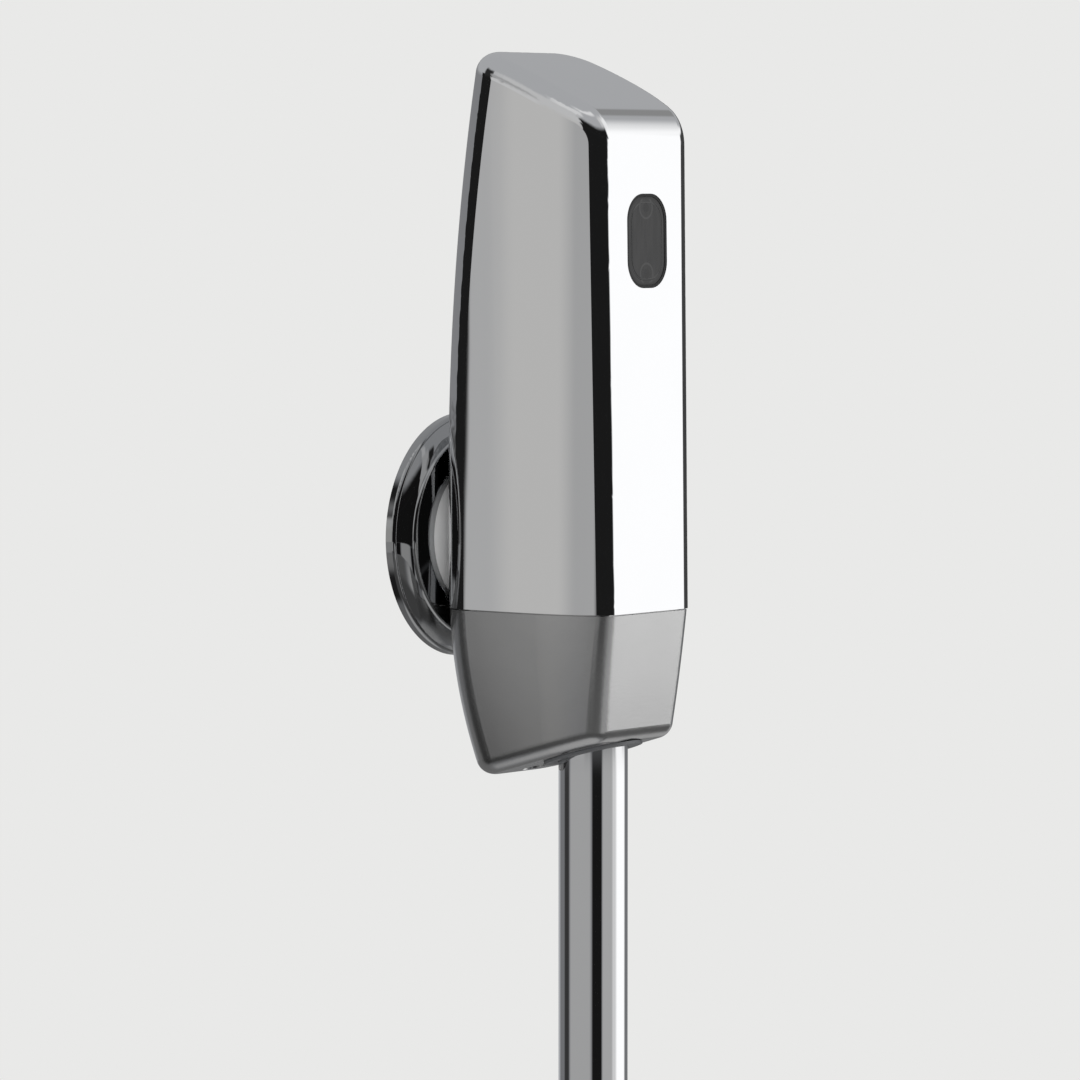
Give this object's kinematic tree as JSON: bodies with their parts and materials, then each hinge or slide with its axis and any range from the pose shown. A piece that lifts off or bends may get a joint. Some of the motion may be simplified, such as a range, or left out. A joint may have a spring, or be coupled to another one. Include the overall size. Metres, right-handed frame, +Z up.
{
  "type": "sensor urinal flush valve",
  "caption": "Exposed electronic flush valve: chrome sensor hood over a tapered cap, round wall rosette behind, flush pipe below, with stop valve, piston valve and solenoid pilot inside.",
  "frame": {"origin": "centre of the inlet on the finished wall", "axes": "+Y along the inlet into the wall, -Y towards the user, +Z up, +X to the right of someone who faces it"},
  "size_m": [0.064, 0.0767, 0.3644],
  "materials": {
    "polished_chrome": "mirror-polished chrome plate",
    "satin_chrome": "satin chrome plate",
    "dark_lens": "dark infrared-clear plastic, glossy",
    "black_rubber": "matt",
    "brass": "machined",
    "steel": "plain",
    "spring_steel": "bright wire",
    "white_plastic": "moulded",
    "black_plastic": "moulded",
    "grey_plastic": "moulded",
    "coil_plastic": "moulded over the winding",
    "board": "solder-masked board",
    "battery_wrap": "shrink-wrapped shell",
    "clear_led": "moulded infrared part",
    "lead_cover": "soft insulation"
  },
  "bodies": {
    "valve": {"casing_hood": "polished_chrome", "lower_cap": "satin_chrome", "cap_screw": "steel", "pipe_collar": "grey_plastic", "sensor_window": "dark_lens", "window_gasket": "black_rubber", "inlet_nipple": "brass", "nipple_o_rings": "black_rubber", "strainer_basket": "steel", "valve_body": "brass", "nipple_set_screw": "steel", "ball_seats": "white_plastic", "stem_ring": "black_rubber", "gland_nut": "brass", "valve_cover": "brass", "piston_spring": "spring_steel", "chassis": "black_plastic", "cover_screws": "steel", "armature_tube": "steel", "armature_spring": "spring_steel", "solenoid_coil": "coil_plastic", "solenoid_yoke": "steel", "coil_nut": "brass", "breaker_body": "brass", "breaker_gasket": "black_rubber", "breaker_spring": "spring_steel", "flush_pipe": "polished_chrome", "pipe_seal": "black_rubber", "clamp_ring": "brass", "coupling_nut": "brass", "battery": "battery_wrap", "battery_holder": "black_plastic", "battery_contacts": "steel", "circuit_board": "board", "sensor_housing": "black_plastic", "infrared_emitter": "clear_led", "infrared_receiver": "clear_led", "coil_lead": "lead_cover"},
    "rosette": {"wall_rosette": "polished_chrome", "rosette_ring": "black_rubber"},
    "shutoff": {"shutoff_ball": "polished_chrome", "shutoff_stem": "brass"},
    "piston_unit": {"piston": "white_plastic", "piston_seal": "black_rubber", "seat_washer": "black_rubber"},
    "armature_unit": {"armature": "steel", "pilot_pad": "black_rubber"},
    "breaker_float": {"breaker_disc": "white_plastic"}
  },
  "joints": [
    {"name": "rosette_slide", "type": "slide", "parent": "valve", "child": "rosette", "axis": [0, -1, 0], "range_m": [0, 0.001]},
    {"name": "stop_valve_turn", "type": "hinge", "parent": "valve", "child": "shutoff", "pos_m": [0, -0.0228, 0], "axis": [0, 0, 1], "range_deg": [0, 90]},
    {"name": "piston_lift", "type": "slide", "parent": "valve", "child": "piston_unit", "axis": [0, 0, 1], "range_m": [0, 0.004], "stiffness_N_per_m": 150, "springref_m": -0.003, "deforming": ["piston_spring"]},
    {"name": "armature_lift", "type": "slide", "parent": "valve", "child": "armature_unit", "axis": [0, 0, 1], "range_m": [0, 0.001], "stiffness_N_per_m": 200, "springref_m": -0.002, "deforming": ["armature_spring"]},
    {"name": "breaker_drop", "type": "slide", "parent": "valve", "child": "breaker_float", "axis": [0, 0, -1], "range_m": [0, 0.0025], "stiffness_N_per_m": 30, "springref_m": -0.004, "deforming": ["breaker_spring"]}
  ]
}
